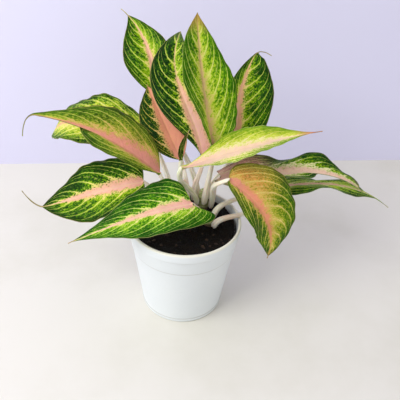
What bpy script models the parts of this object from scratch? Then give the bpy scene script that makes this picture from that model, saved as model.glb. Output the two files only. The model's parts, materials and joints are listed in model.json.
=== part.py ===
"""Chinese evergreen in a white nursery pot: pot, soil, three canes and fifteen leaves.

Sizes are in millimetres and are turned into metres as the meshes are made. +Z is up, the
front of the plant faces -Y, and the origin is the centre of the pot's underside.
Each leaf is one solid, stalk and blade together.
"""

import math

import bmesh
import bpy
from mathutils import Matrix, Vector

MM = 0.001

# Pot, a tapered tub with a rim band and flat base
POT_HEIGHT = 115.0
RIM_RADIUS = 62.5
RIM_BAND = 10.8
RIM_STEP = 1.8
LIP_WIDTH = 3.4
FOOT_RADIUS = 46.7
FOOT_BAND = 5.5
WALL = 2.2
BASE_THICKNESS = 2.6
LINE_DEPTH = 0.4
LINE_BELOW_RIM = 29.2
DRAIN_HOLES = 5
DRAIN_RADIUS = 4.0
DRAIN_CIRCLE = 26.0
POT_SIDES = 48

# Soil
SOIL_BELOW_RIM = 5.2
FIT_GAP = 0.3

# Canes: name, then x, y, radius and height above the soil
CANE_ROOT = 30.0
CANE_SIDES = 20
CANES = {
    "cane_back": (20.0, 30.0, 6.5, 26.0),
    "cane_left": (-5.0, 16.0, 6.0, 18.0),
    "cane_front": (27.0, -1.0, 5.5, 14.0),
}

# Leaves: a round stalk runs into a thin blade, both lofted through rings of RING points
RING = 10
RING_START = 162.0
RING_STEP = 36.0
LEANS_BACK = (0, 1, 5, 6)
STALK_BASE_RADIUS = 3.6
STALK_NECK_RADIUS = 2.1
STALK_NARROWS_BY = 0.85
STALK_LEAN = 0.15
STALK_RISE = 0.4
STALK_ARRIVAL = 0.3
STALK_RINGS = 8
BLADE_THICKNESS = 0.9
EDGE_THINNING = 0.4
RIB_SHARE = 0.55
BLADE_RINGS = 15
TIP_ROUNDING = 0.4
KEEL_FADES_BY = 0.55
CROWN_FADES_BY = 0.085
ACROSS = (-1.0, -0.55, 0.0, 0.55, 1.0)
TAIL_WIDTH = 0.06
WISP_START = 0.84
VEIN_LEAN = 1.6
VEIN_BOW = 1.4
EAR_PLACE = 0.08
RIPPLES = 2.5
DOME = 0.18

SOIL_TOP = POT_HEIGHT - SOIL_BELOW_RIM


def new_material(name, colour, roughness):
    """A plain Principled finish for one piece."""
    material = bpy.data.materials.new(name)
    material.use_nodes = True
    shader = material.node_tree.nodes["Principled BSDF"]
    shader.inputs["Base Color"].default_value = (*colour, 1.0)
    shader.inputs["Roughness"].default_value = roughness
    material.diffuse_color = (*colour, 1.0)
    return material


def add_object(name, bm, colour, roughness):
    """Turns a bmesh in metres into a named object with its own material."""
    mesh = bpy.data.meshes.new(name)
    bm.to_mesh(mesh)
    bm.free()
    mesh.shade_smooth()
    mesh.set_sharp_from_angle(angle=math.radians(40.0))
    obj = bpy.data.objects.new(name, mesh)
    bpy.context.scene.collection.objects.link(obj)
    mesh.materials.append(new_material(name, colour, roughness))
    return obj


def turned(profile, sides):
    """A solid of revolution about Z from (radius, z) points in mm, closed flat at both ends."""
    bm = bmesh.new()
    rings = []
    for radius, z in profile:
        ring = []
        for i in range(sides):
            angle = math.tau * i / sides
            across_x = radius * math.cos(angle)
            across_y = radius * math.sin(angle)
            ring.append(bm.verts.new((across_x * MM, across_y * MM, z * MM)))
        rings.append(ring)
    for low, high in zip(rings, rings[1:]):
        for i in range(sides):
            j = (i + 1) % sides
            bm.faces.new((low[i], low[j], high[j], high[i]))
    bm.faces.new(rings[0])
    bm.faces.new(rings[-1])
    bmesh.ops.recalc_face_normals(bm, faces=bm.faces)
    return bm


def wall_radius(z):
    """Outer radius of the tapered wall at a height."""
    top = POT_HEIGHT - RIM_BAND
    return FOOT_RADIUS + (RIM_RADIUS - RIM_STEP - FOOT_RADIUS) * z / top


def make_pot():
    band = POT_HEIGHT - RIM_BAND
    line = POT_HEIGHT - LINE_BELOW_RIM
    lip = LIP_WIDTH / 2.0
    profile = [
        (FOOT_RADIUS - 1.0, 0.0),
        (FOOT_RADIUS, 1.0),
        (wall_radius(FOOT_BAND), FOOT_BAND),
        (wall_radius(FOOT_BAND) - LINE_DEPTH, FOOT_BAND + 0.4),
        (wall_radius(line) - LINE_DEPTH, line - 0.4),
        (wall_radius(line), line),
        (wall_radius(band), band),
        (RIM_RADIUS - 0.3, band + 0.5),
        (RIM_RADIUS, POT_HEIGHT - 1.2),
        (RIM_RADIUS - 0.5, POT_HEIGHT - 0.3),
        (RIM_RADIUS - lip, POT_HEIGHT),
        (RIM_RADIUS - LIP_WIDTH + 0.5, POT_HEIGHT - 0.3),
        (RIM_RADIUS - LIP_WIDTH, POT_HEIGHT - 1.2),
        (wall_radius(band) - WALL - 0.5, band - 1.0),
        (wall_radius(BASE_THICKNESS) - WALL, BASE_THICKNESS + 2.0),
        (wall_radius(BASE_THICKNESS) - WALL - 2.0, BASE_THICKNESS),
    ]
    pot = add_object("pot", turned(profile, POT_SIDES), (0.84, 0.86, 0.88), 0.35)
    for i in range(DRAIN_HOLES):
        angle = math.tau * (i + 0.5) / DRAIN_HOLES
        bpy.ops.mesh.primitive_cylinder_add(
            vertices=16, radius=DRAIN_RADIUS * MM, depth=4.0 * BASE_THICKNESS * MM,
            location=(DRAIN_CIRCLE * MM * math.cos(angle), DRAIN_CIRCLE * MM * math.sin(angle), 0.0))
        cutter = bpy.context.object
        cutter.name = f"drain_cutter_{i + 1}"
        cutter.hide_render = True
        cutter.display_type = "WIRE"
        cut = pot.modifiers.new(f"drain_{i + 1}", "BOOLEAN")
        cut.operation = "DIFFERENCE"
        cut.solver = "EXACT"
        cut.object = cutter
    return pot


def make_soil():
    """Soil plug with a low crown, and a blind pocket for the root end of each cane."""
    inner_base = wall_radius(BASE_THICKNESS) - WALL - FIT_GAP
    inner_top = wall_radius(SOIL_TOP) - WALL - FIT_GAP
    bottom = BASE_THICKNESS + FIT_GAP
    profile = [
        (inner_base - 2.2, bottom),
        (inner_base - 0.4, bottom + 2.2),
        (inner_top - LIP_WIDTH * 0.6, SOIL_TOP - 1.2),
        (inner_top - 6.0, SOIL_TOP - 0.4),
        (inner_top * 0.6, SOIL_TOP),
    ]
    soil = add_object("soil", turned(profile, POT_SIDES), (0.035, 0.026, 0.022), 0.95)
    for name, (x, y, radius, _) in CANES.items():
        depth = CANE_ROOT + FIT_GAP
        bpy.ops.mesh.primitive_cylinder_add(
            vertices=CANE_SIDES, radius=(radius + FIT_GAP) * MM, depth=2.0 * depth * MM,
            location=(x * MM, y * MM, SOIL_TOP * MM))
        cutter = bpy.context.object
        cutter.name = f"{name}_pocket_cutter"
        cutter.hide_render = True
        cutter.display_type = "WIRE"
        cut = soil.modifiers.new(f"{name}_pocket", "BOOLEAN")
        cut.operation = "DIFFERENCE"
        cut.solver = "EXACT"
        cut.object = cutter
    return soil


def make_cane(name):
    x, y, radius, height = CANES[name]
    low = SOIL_TOP - CANE_ROOT
    top = SOIL_TOP + height
    profile = [
        (radius * 0.7, low),
        (radius * 0.95, low + 4.0),
        (radius * 0.95, SOIL_TOP + 1.0),
        (radius, SOIL_TOP + height * 0.35),
        (radius * 0.9, SOIL_TOP + height * 0.7),
        (radius * 0.5, top),
    ]
    bm = turned(profile, CANE_SIDES)
    bmesh.ops.translate(bm, verts=bm.verts, vec=(x * MM, y * MM, 0.0))
    return add_object(name, bm, (0.62, 0.60, 0.42), 0.6)


def bezier(points, t):
    """Point and slope of a cubic at t; straight on before its start."""
    a, b, c, d = points
    s = max(t, 0.0)
    r = 1.0 - s
    place = a * r ** 3 + b * 3 * r * r * s + c * 3 * r * s * s + d * s ** 3
    slope = (b - a) * 3 * r * r + (c - b) * 6 * r * s + (d - c) * 3 * s * s
    if t < 0.0:
        place = place + slope * t
    return place, slope


def across(direction, tangent):
    """The part of a direction that is square to the tangent."""
    return (direction - tangent * direction.dot(tangent)).normalized()


def blade_width(x, base, taper, drip):
    """Share of the full half width at x along the blade, 0 at the neck and 1 at the tip."""
    peak = base / (base + taper)
    full = peak ** base * (1.0 - peak) ** taper
    body = min(1.0, x / (1.0 - drip))
    return body ** base * (1.0 - body) ** taper / full + TAIL_WIDTH * x * math.sqrt(1.0 - x)


def ear_bulge(x):
    """How the margin swings back behind the neck, strongest just after it."""
    near = x / EAR_PLACE
    return near * math.exp(1.0 - near)


class Blade:
    """A leaf blade: its midrib curve and the sheet that hangs on it."""

    def __init__(self, neck, tip, face, bend, halves, bases, tapers, drips, fold, twist, ears, ripple,
                 wisp):
        chord = tip - neck
        along = chord.normalized()
        up = across(face, along)
        side = along.cross(up)
        self.face = face
        self.halves = halves
        self.bases = bases
        self.tapers = tapers
        self.drips = drips
        self.fold = fold
        self.twist = math.radians(twist)
        self.ears = ears
        self.ripple = ripple
        self.wisp = wisp
        guides = [neck + chord * share + up * lift + side * sway for share, lift, sway in bend]
        self.rib = (neck, *guides, tip)

    def frame(self, t):
        place, slope = bezier(self.rib, t)
        late = max(0.0, t - WISP_START) / (1.0 - WISP_START)
        place = place + self.wisp * late ** 2
        tangent = (slope + self.wisp * (2.0 * late / (1.0 - WISP_START))).normalized()
        normal = across(self.face, tangent)
        turn = Matrix.Rotation(self.twist * (t - 0.5), 3, tangent)
        normal = turn @ normal
        return place, tangent, normal, tangent.cross(normal)

    def point(self, x, u):
        """Upper face at x along the margin, u across from -1 (left margin) to 1."""
        flank = 0 if u < 0 else 1
        half = self.halves[flank]
        ear = self.ears[flank]
        rib_at = x ** VEIN_LEAN
        margin_at = x - ear * ear_bulge(x)
        t = rib_at + (margin_at - rib_at) * abs(u) ** VEIN_BOW
        width = blade_width(x, self.bases[flank], self.tapers[flank], self.drips[flank])
        q = half * width * abs(u)
        place, _, normal, side = self.frame(t)
        fold = math.radians(self.fold[0] + (self.fold[1] - self.fold[0]) * x)
        depth, phase = self.ripple
        wave = depth * u * abs(u) * width * math.sin(RIPPLES * math.tau * x + math.radians(phase))
        lift = q * math.sin(fold) - DOME * q * q / half + wave
        return place + side * (math.copysign(q, u) * math.cos(fold)) + normal * lift, normal


def leaf_rings(stalk, blade):
    """Rings of ten points, from the foot of the stalk to the tip of the blade."""
    rings = []
    _, _, normal, _ = blade.frame(0.0)
    for i in range(STALK_RINGS, -1, -1):
        t = i / STALK_RINGS
        place, slope = bezier(stalk, t)
        tangent = slope.normalized()
        normal = across(normal, tangent)
        side = tangent.cross(normal)
        narrowed = min(1.0, t / STALK_NARROWS_BY)
        radius = STALK_BASE_RADIUS + (STALK_NECK_RADIUS - STALK_BASE_RADIUS) * narrowed
        ring = []
        for k in range(RING):
            angle = math.radians(RING_START - RING_STEP * k)
            ring.append(place + side * (radius * math.cos(angle)) + normal * (radius * math.sin(angle)))
        rings.insert(0, ring)
    for i in range(1, BLADE_RINGS):
        x = (1.0 - math.cos(math.pi * i / BLADE_RINGS)) / 2.0
        keel = STALK_NECK_RADIUS * max(0.0, 1.0 - x / KEEL_FADES_BY)
        crown = STALK_NECK_RADIUS * max(0.0, 1.0 - x / CROWN_FADES_BY)
        top = []
        bottom = []
        for u in ACROSS:
            place, normal = blade.point(x, u)
            middle = 1.0 - min(1.0, abs(u) / RIB_SHARE)
            top.append(place + normal * (crown * middle))
            thickness = BLADE_THICKNESS * (1.0 - EDGE_THINNING * abs(u)) + keel * middle
            bottom.append(place - normal * thickness)
        rings.append(top + bottom[::-1])
    place, tangent, normal, side = blade.frame(1.0)
    point = []
    for k in range(RING):
        angle = math.radians(RING_START - RING_STEP * k)
        outward = side * math.cos(angle) + normal * math.sin(angle)
        point.append(place + outward * (BLADE_THICKNESS * TIP_ROUNDING))
    rings.append(point)
    return rings


def make_leaf(name, cane, foot, neck, tip, face, bend, halves, bases, tapers, drips, fold, twist, ears,
              ripple, colour, wisp=(0, 0, 0)):
    """One leaf. foot is the direction from the cane and the height above the soil where its stalk
    starts, neck is where the blade begins, and bend holds the midrib's two guide points, each as a
    share of the chord, a lift towards the face and a sway to the right. Pairs are for the left and
    the right flank, and wisp is how far the end of the tip curls away. The blade's two faces are
    split into triangles along the same diagonals, so that they stay apart where the blade bends."""
    x, y, radius, _ = CANES[cane]
    neck = Vector(neck)
    tip = Vector(tip)
    blade = Blade(neck, tip, Vector(face), bend, halves, bases, tapers, drips, fold, twist, ears, ripple,
                  Vector(wisp))
    heading, rise = foot
    outward = Vector((math.cos(math.radians(heading)), math.sin(math.radians(heading)), 0.0))
    start = Vector((x, y, SOIL_TOP + rise)) + outward * (radius + STALK_BASE_RADIUS + FIT_GAP)
    reach = (neck - start).length
    leaving = (Vector((0.0, 0.0, 1.0)) + outward * STALK_LEAN).normalized()
    arriving = (Vector((0.0, 0.0, 1.0)) + (blade.rib[1] - neck).normalized()).normalized()
    stalk = (start, start + leaving * (reach * STALK_RISE), neck - arriving * (reach * STALK_ARRIVAL), neck)
    bm = bmesh.new()
    rings = [[bm.verts.new(p * MM) for p in ring] for ring in leaf_rings(stalk, blade)]
    for low, high in zip(rings, rings[1:]):
        for i in range(RING):
            j = (i + 1) % RING
            if i in LEANS_BACK:
                bm.faces.new((low[i], low[j], high[i]))
                bm.faces.new((low[j], high[j], high[i]))
            else:
                bm.faces.new((low[i], low[j], high[j]))
                bm.faces.new((low[i], high[j], high[i]))
    bm.faces.new(rings[0])
    bm.faces.new(rings[-1])
    bmesh.ops.recalc_face_normals(bm, faces=bm.faces)
    return add_object(name, bm, colour, 0.4)


DARK = (0.10, 0.22, 0.06)
LIME = (0.35, 0.50, 0.10)
OLIVE = (0.42, 0.28, 0.10)

LEAVES = [
    dict(name="leaf_centre", cane="cane_back", foot=(276, 12), neck=(27, 27, 188), tip=(5, 84, 312),
         face=(4, -6, 5), bend=((0.33, 2, -3), (0.67, 2, -6)), halves=(31, 37), bases=(1.1, 0.6),
         tapers=(1.15, 1.15), drips=(0.0, 0.0), fold=(42, 20), twist=-30, ears=(0.0, 0.0), ripple=(2, 0),
         colour=LIME),
    dict(name="leaf_centre_left", cane="cane_back", foot=(174, 9), neck=(17, 30, 175), tip=(-12, 112, 284),
         face=(-1, -7, 7), bend=((0.33, 6, 4), (0.67, 6, -30)), halves=(30, 30), bases=(1.35, 0.8),
         tapers=(1.0, 0.9), drips=(0.0, 0.0), fold=(15, 15), twist=0, ears=(0.0, 0.08), ripple=(2, 0),
         colour=DARK),
    dict(name="leaf_left_inner", cane="cane_left", foot=(50, 8), neck=(-6, 36, 168), tip=(-48, 97, 228),
         face=(-2, -6, 8), bend=((0.33, 6, 0), (0.67, 6, 0)), halves=(27, 22), bases=(0.8, 0.8),
         tapers=(0.95, 0.95), drips=(0.03, 0.03), fold=(20, 20), twist=0, ears=(0.0, 0.0), ripple=(2, 0),
         colour=OLIVE),
    dict(name="leaf_back_left", cane="cane_back", foot=(121, 6), neck=(-35, 95, 217), tip=(-82, 160, 292),
         face=(-1, -6, 7), bend=((0.33, 6, 10), (0.67, 6, 16)), halves=(31, 26), bases=(1.0, 0.6),
         tapers=(1.2, 1.2), drips=(0.1, 0.1), fold=(18, 18), twist=0, ears=(0.03, 0.03), ripple=(3, 0),
         colour=DARK),
    dict(name="leaf_back_right", cane="cane_back", foot=(66, 5), neck=(55, 60, 172), tip=(87, 145, 267),
         face=(0, -6, 8), bend=((0.33, 8, -9), (0.67, 8, -22)), halves=(20, 38), bases=(0.6, 0.6),
         tapers=(1.3, 0.65), drips=(0.12, 0.12), fold=(18, 18), twist=0, ears=(0.08, 0.08), ripple=(2, 0),
         wisp=(7, -10, -13), colour=DARK),
    dict(name="leaf_right_level", cane="cane_back", foot=(226, 10), neck=(-5, 1, 179), tip=(143, 40, 208),
         face=(0, -1, 9), bend=((0.33, 5, 0), (0.67, 7, 0)), halves=(26, 32), bases=(2.2, 1.1),
         tapers=(2.3, 2.0), drips=(0.02, 0.02), fold=(33, 28), twist=0, ears=(0.0, 0.0), ripple=(1, 0),
         colour=LIME),
    dict(name="leaf_front_right", cane="cane_back", foot=(326, 4), neck=(42, -22, 182), tip=(92, -26, 84),
         face=(3, -6, 6), bend=((0.33, 16, -14), (0.67, 18, -18)), halves=(44, 21), bases=(0.8, 0.8),
         tapers=(1.0, 0.9), drips=(0.03, 0.03), fold=(20, 10), twist=0, ears=(0.08, 0.04), ripple=(2, 0),
         colour=OLIVE),
    dict(name="leaf_right_long", cane="cane_back", foot=(15, 3), neck=(38, 30, 151), tip=(199, 29, 140),
         face=(1, -1, 9), bend=((0.33, 8, 0), (0.67, 39, 0)), halves=(26, 27), bases=(0.35, 0.6),
         tapers=(0.5, 0.6), drips=(0.03, 0.36), fold=(15, 35), twist=0, ears=(0.08, 0.1), ripple=(7, 45),
         colour=DARK),
    dict(name="leaf_right_low", cane="cane_front", foot=(60, 3), neck=(79, 36, 131), tip=(233, 27, 121),
         face=(0, 2, 9), bend=((0.33, 18, 0), (0.67, 32, 0)), halves=(22, 20), bases=(0.6, 0.6),
         tapers=(0.8, 0.8), drips=(0.03, 0.03), fold=(8, 8), twist=0, ears=(0.1, 0.1), ripple=(4, 0),
         colour=DARK),
    dict(name="leaf_left_arching", cane="cane_left", foot=(240, 5), neck=(-28, 6, 168), tip=(-173, 6, 232),
         face=(-1, -2, 9), bend=((0.33, 24, 0), (0.67, 26, 0)), halves=(24, 44), bases=(1.1, 0.8),
         tapers=(0.6, 1.7), drips=(0.42, 0.1), fold=(10, 35), twist=0, ears=(0.0, 0.02), ripple=(2, 0),
         wisp=(9, 0, -26), colour=DARK),
    dict(name="leaf_left_back", cane="cane_left", foot=(140, 3), neck=(-42, 65, 175), tip=(-169, 118, 143),
         face=(-1, -4, 8), bend=((0.33, 40, 0), (0.67, 56, 0)), halves=(30, 38), bases=(0.9, 0.6),
         tapers=(0.9, 0.9), drips=(0.04, 0.04), fold=(10, 10), twist=0, ears=(0.0, 0.0), ripple=(3, 90),
         colour=DARK),
    dict(name="leaf_left_low", cane="cane_left", foot=(190, 2), neck=(-46, 18, 149), tip=(-176, 14, 108),
         face=(-1, -4, 8), bend=((0.33, 8, 0), (0.67, 2, -4)), halves=(33, 42), bases=(0.8, 0.6),
         tapers=(1.0, 1.0), drips=(0.14, 0.14), fold=(8, 8), twist=0, ears=(0.05, 0.05), ripple=(3, 0),
         wisp=(-2, 0, 26), colour=DARK),
    dict(name="leaf_front_left", cane="cane_front", foot=(215, 6), neck=(7, -24, 152),
         tip=(-113, -62, 127), face=(0, -3, 9), bend=((0.33, 14, 0), (0.67, 6, 0)), halves=(28, 38),
         bases=(0.6, 0.42), tapers=(1.6, 1.7), drips=(0.02, 0.02), fold=(8, 8), twist=0, ears=(0.22, 0.03),
         ripple=(2, 0), colour=LIME),
    dict(name="leaf_right_small", cane="cane_front", foot=(300, 2), neck=(75, 14, 122), tip=(115, 36, 122),
         face=(1, -2, 9), bend=((0.33, 6, 0), (0.67, 8, 0)), halves=(14, 14), bases=(0.6, 0.6),
         tapers=(0.9, 0.9), drips=(0.03, 0.03), fold=(12, 12), twist=0, ears=(0.1, 0.1), ripple=(1, 0),
         colour=DARK),
    dict(name="leaf_left_young", cane="cane_left", foot=(95, 7), neck=(-6, 14, 181), tip=(1, 14, 216),
         face=(-6, -4, 0), bend=((0.33, 1, 0), (0.67, 1, 0)), halves=(6, 6), bases=(0.6, 0.6),
         tapers=(0.9, 0.9), drips=(0.05, 0.05), fold=(72, 72), twist=0, ears=(0.0, 0.0), ripple=(0, 0),
         colour=DARK),
]

for old in list(bpy.data.objects):
    bpy.data.objects.remove(old, do_unlink=True)
make_pot()
make_soil()
for cane_name in CANES:
    make_cane(cane_name)
for leaf in LEAVES:
    make_leaf(**leaf)
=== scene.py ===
import json
import math

import bmesh
import bpy
import numpy as np
from mathutils import Matrix, Vector, noise


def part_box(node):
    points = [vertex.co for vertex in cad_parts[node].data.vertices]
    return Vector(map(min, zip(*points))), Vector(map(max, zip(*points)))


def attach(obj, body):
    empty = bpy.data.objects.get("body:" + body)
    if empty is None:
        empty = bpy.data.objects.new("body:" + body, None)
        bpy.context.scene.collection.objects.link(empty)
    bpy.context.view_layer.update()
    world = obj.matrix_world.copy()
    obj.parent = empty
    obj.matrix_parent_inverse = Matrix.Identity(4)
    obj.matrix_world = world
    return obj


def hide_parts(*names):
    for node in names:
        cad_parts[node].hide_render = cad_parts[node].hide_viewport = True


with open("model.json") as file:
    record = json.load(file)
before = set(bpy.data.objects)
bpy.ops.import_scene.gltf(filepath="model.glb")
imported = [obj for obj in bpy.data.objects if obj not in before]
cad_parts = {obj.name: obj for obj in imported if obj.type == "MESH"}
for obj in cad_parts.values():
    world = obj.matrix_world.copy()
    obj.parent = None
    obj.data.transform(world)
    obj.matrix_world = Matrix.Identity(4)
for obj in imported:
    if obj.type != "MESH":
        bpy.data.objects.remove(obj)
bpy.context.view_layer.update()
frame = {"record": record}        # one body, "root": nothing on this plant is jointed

MM = 0.001

# ----------------------------------------
# Nursery pot. A thin tub of white polypropylene, injection moulded in one piece: a stiff rolled
# rim, walls that taper to a flat foot, two faint mould lines and five drain holes in the floor.
# ----------------------------------------
POT_SIDES = 144
POT_WHITE = "#ebf0f2"
POT_COOL = "#e0e7eb"
SMUDGE_AND_CREASE_SHADE = "#b3b3ac"
LIP_CREAM = "#f3edd8"
RIM_RADIUS = 62.5
RIM_BAND = 10.8
RIM_STEP = 1.8
LIP_WIDTH = 3.4
FOOT_RADIUS = 46.7
FOOT_BAND = 5.2
WALL = 2.2
FLOOR_THICKNESS = 2.6
DRAIN_HOLES = 5
DRAIN_RADIUS = 4.0
DRAIN_CIRCLE = 26.0

pot_low, pot_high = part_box("pot")
POT_HEIGHT = (pot_high.z - pot_low.z) / MM
WALL_TOP = POT_HEIGHT - RIM_BAND
MOULD_LINE = POT_HEIGHT - 29.4
FOOT_LINE = FOOT_BAND + 0.5


def shade(code):
    """A colour as a painter writes it, turned into the linear values that shaders take."""
    parts = [int(code[i:i + 2], 16) / 255.0 for i in (1, 3, 5)]
    return (*[c / 12.92 if c <= 0.04045 else ((c + 0.055) / 1.055) ** 2.4 for c in parts], 1.0)


class Wire:
    """One output of a node. Arithmetic on wires adds the math nodes that work it out."""

    def __init__(self, socket):
        self.socket = socket
        self.tree = socket.id_data

    def __add__(self, other):
        return figure("ADD", self, other)

    def __sub__(self, other):
        return figure("SUBTRACT", self, other)

    def __rsub__(self, other):
        return figure("SUBTRACT", other, self)

    def __mul__(self, other):
        return figure("MULTIPLY", self, other)

    def __truediv__(self, other):
        return figure("DIVIDE", self, other)

    def __pow__(self, other):
        return figure("POWER", self, other)

    def __abs__(self):
        return figure("ABSOLUTE", self)


def add_node(tree, kind, inputs, output=0, **settings):
    """Adds a node, fills or links its inputs by name or number, and gives one output, or all."""
    made = tree.nodes.new(kind)
    for name, value in settings.items():
        setattr(made, name, value)
    for key, value in inputs.items():
        if isinstance(value, Wire):
            tree.links.new(value.socket, made.inputs[key])
        else:
            made.inputs[key].default_value = value
    if output is None:
        return [Wire(socket) for socket in made.outputs]
    return Wire(made.outputs[output])


def tree_of(*values):
    """The node tree that the first wire belongs to."""
    return next(value.tree for value in values if isinstance(value, Wire))


def figure(operation, a, b=0.0, clamp=False):
    inputs = {0: a, 1: b}
    return add_node(tree_of(a, b), "ShaderNodeMath", inputs, operation=operation, use_clamp=clamp)


def soft_step(value, start, end, low=0.0, high=1.0):
    """Rises smoothly from low at start to high at end."""
    inputs = {"Value": value, "From Min": start, "From Max": end, "To Min": low, "To Max": high}
    return add_node(value.tree, "ShaderNodeMapRange", inputs, interpolation_type="SMOOTHSTEP")


def tint(share, under, over, blend="MIX"):
    """Lays one colour over another by a share."""
    inputs = {0: share, 6: under, 7: over}
    tree = tree_of(share, under, over)
    return add_node(tree, "ShaderNodeMix", inputs, 2, data_type="RGBA", blend_type=blend)


def cloud(place, scale, detail=2.0, rough=0.5):
    """Soft noise from 0 to 1; scale is in features per metre, or per unit of the place given."""
    inputs = {"Vector": place, "Scale": scale, "Detail": detail, "Roughness": rough}
    return add_node(place.tree, "ShaderNodeTexNoise", inputs, "Fac")


def bump(height, distance, strength=1.0):
    inputs = {"Height": height, "Distance": distance, "Strength": strength}
    return add_node(height.tree, "ShaderNodeBump", inputs)


def new_material(name):
    """An empty node material with its Principled shader, its tree and the piece's own coordinates."""
    made = bpy.data.materials.new(name)
    made.use_nodes = True
    tree = made.node_tree
    place = add_node(tree, "ShaderNodeTexCoord", {}, "Object")
    return made, tree, tree.nodes["Principled BSDF"], place


def finish_surface(shader, colour, roughness, normal):
    for name, wire in (("Base Color", colour), ("Roughness", roughness), ("Normal", normal)):
        wire.tree.links.new(wire.socket, shader.inputs[name])


def ring_at(made, radius, z, sides, centre=(0.0, 0.0)):
    """A level ring of corners, in mm."""
    ring = []
    for i in range(sides):
        angle = math.tau * i / sides
        x = centre[0] + radius * math.cos(angle)
        y = centre[1] + radius * math.sin(angle)
        ring.append(made.verts.new((x * MM, y * MM, z * MM)))
    return ring


def close_rings(made, rings):
    """Joins rings of corners one to the next and closes both ends flat."""
    for low, high in zip(rings, rings[1:]):
        for i in range(len(low)):
            j = (i + 1) % len(low)
            made.faces.new((low[i], low[j], high[j], high[i]))
    made.faces.new(rings[0])
    made.faces.new(rings[-1])
    bmesh.ops.recalc_face_normals(made, faces=made.faces)


def turned(profile, sides, centre=(0.0, 0.0)):
    """A solid of revolution from (radius, z) points in mm, closed flat at both ends."""
    made = bmesh.new()
    close_rings(made, [ring_at(made, radius, z, sides, centre) for radius, z in profile])
    return made


def put(name, data):
    """An object in the scene that shows the data given."""
    made = bpy.data.objects.new(name, data)
    bpy.context.scene.collection.objects.link(made)
    return made


def make_plain(piece):
    """Turns what a piece's modifiers make into its own mesh."""
    bpy.context.view_layer.update()
    plain = bpy.data.meshes.new_from_object(piece.evaluated_get(bpy.context.evaluated_depsgraph_get()))
    piece.modifiers.clear()
    piece.data = plain


def add_piece(name, made, materials, sharp=35.0):
    """Turns a bmesh into a named, smooth-shaded piece at the origin."""
    mesh = bpy.data.meshes.new(name)
    made.to_mesh(mesh)
    made.free()
    mesh.shade_smooth()
    mesh.set_sharp_from_angle(angle=math.radians(sharp))
    for each in materials:
        mesh.materials.append(each)
    return put(name, mesh)


def rounded(points, radius, steps=4):
    """Rounds the inner corners of a profile with short arcs."""
    out = [points[0]]
    for before, corner, after in zip(points, points[1:], points[2:]):
        a, c, b = Vector(before), Vector(corner), Vector(after)
        reach = min(radius, (a - c).length * 0.45, (b - c).length * 0.45)
        start = c + (a - c).normalized() * reach
        end = c + (b - c).normalized() * reach
        for i in range(steps + 1):
            k = i / steps
            out.append(tuple(start * (1 - k) ** 2 + c * 2 * k * (1 - k) + end * k * k))
    out.append(points[-1])
    return out


def wall_radius(z):
    """Outer radius of the tapered wall at a height."""
    return FOOT_RADIUS + (RIM_RADIUS - RIM_STEP - FOOT_RADIUS) * z / WALL_TOP


outer = rounded([
    (FOOT_RADIUS - 14.0, 0.8),
    (FOOT_RADIUS - 12.0, 0.0),
    (FOOT_RADIUS - 0.8, 0.0),
    (wall_radius(1.6) + 0.1, 1.6),
    (wall_radius(FOOT_BAND) + 0.1, FOOT_BAND),
    (wall_radius(FOOT_BAND + 0.7) - 0.4, FOOT_BAND + 0.7),
    (wall_radius(MOULD_LINE - 0.8) - 0.4, MOULD_LINE - 0.8),
    (wall_radius(MOULD_LINE) + 0.05, MOULD_LINE),
    (wall_radius(WALL_TOP - 0.4), WALL_TOP - 0.4),
    (RIM_RADIUS - 0.25, WALL_TOP + 0.2),
    (RIM_RADIUS, POT_HEIGHT - 1.6),
    (RIM_RADIUS - 0.7, POT_HEIGHT),
    (RIM_RADIUS - LIP_WIDTH + 0.6, POT_HEIGHT),
    (RIM_RADIUS - LIP_WIDTH, POT_HEIGHT - 1.8),
    (wall_radius(WALL_TOP) - WALL - 0.4, WALL_TOP - 0.8),
    (wall_radius(FLOOR_THICKNESS) - WALL, FLOOR_THICKNESS + 2.0),
    (wall_radius(FLOOR_THICKNESS) - WALL - 2.0, FLOOR_THICKNESS),
    (FOOT_RADIUS - 16.0, FLOOR_THICKNESS),
], 0.7)

pot_plastic, tree, shader, place = new_material("pot_plastic")
drift = cloud(place, 22.0, 3.0)
scuffs = cloud(place, 420.0, 4.0, 0.65)
height = add_node(tree, "ShaderNodeSeparateXYZ", {0: place}, "Z")
plastic = tint(drift, shade(POT_WHITE), shade(POT_COOL))
on_lip = soft_step(height, (POT_HEIGHT - 2.5) * MM, (POT_HEIGHT - 0.5) * MM, 0.0, 0.7)
plastic = tint(on_lip, plastic, shade(LIP_CREAM))
# random scuffs of dust, plus painted shade: thin dark bands along the foot line, the mould line and
# under the rim band, where the creases would fall into shadow
dust_and_crease_shade = soft_step(scuffs, 0.58, 0.8) * 0.15
for line in (FOOT_LINE, MOULD_LINE - 0.5, WALL_TOP - 0.6):
    off_line = abs(height - line * MM)
    dust_and_crease_shade = figure("ADD", dust_and_crease_shade, soft_step(off_line, 0.0012, 0.0002, 0.0, 0.55), clamp=True)
plastic = tint(dust_and_crease_shade, plastic, shade(SMUDGE_AND_CREASE_SHADE))
gloss = soft_step(scuffs, 0.3, 0.75, 0.30, 0.46)
finish_surface(shader, plastic, gloss, bump(cloud(place, 900.0), 0.00004, 0.35))
shader.inputs["IOR"].default_value = 1.49
shader.inputs["Subsurface Weight"].default_value = 0.15
shader.inputs["Subsurface Radius"].default_value = (0.004, 0.004, 0.004)

pot = add_piece("pot_shell", turned(outer, POT_SIDES), [pot_plastic], 50.0)
for i in range(DRAIN_HOLES):
    angle = math.tau * (i + 0.5) / DRAIN_HOLES
    bpy.ops.mesh.primitive_cylinder_add(
        vertices=40, radius=DRAIN_RADIUS * MM, depth=20.0 * MM,
        location=(DRAIN_CIRCLE * MM * math.cos(angle), DRAIN_CIRCLE * MM * math.sin(angle), 0.0))
    cutter = bpy.context.object
    cut = pot.modifiers.new("drain", "BOOLEAN")
    cut.operation = "DIFFERENCE"
    cut.object = cutter
    make_plain(pot)
    bpy.data.objects.remove(cutter)
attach(pot, "root")
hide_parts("pot")

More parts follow.
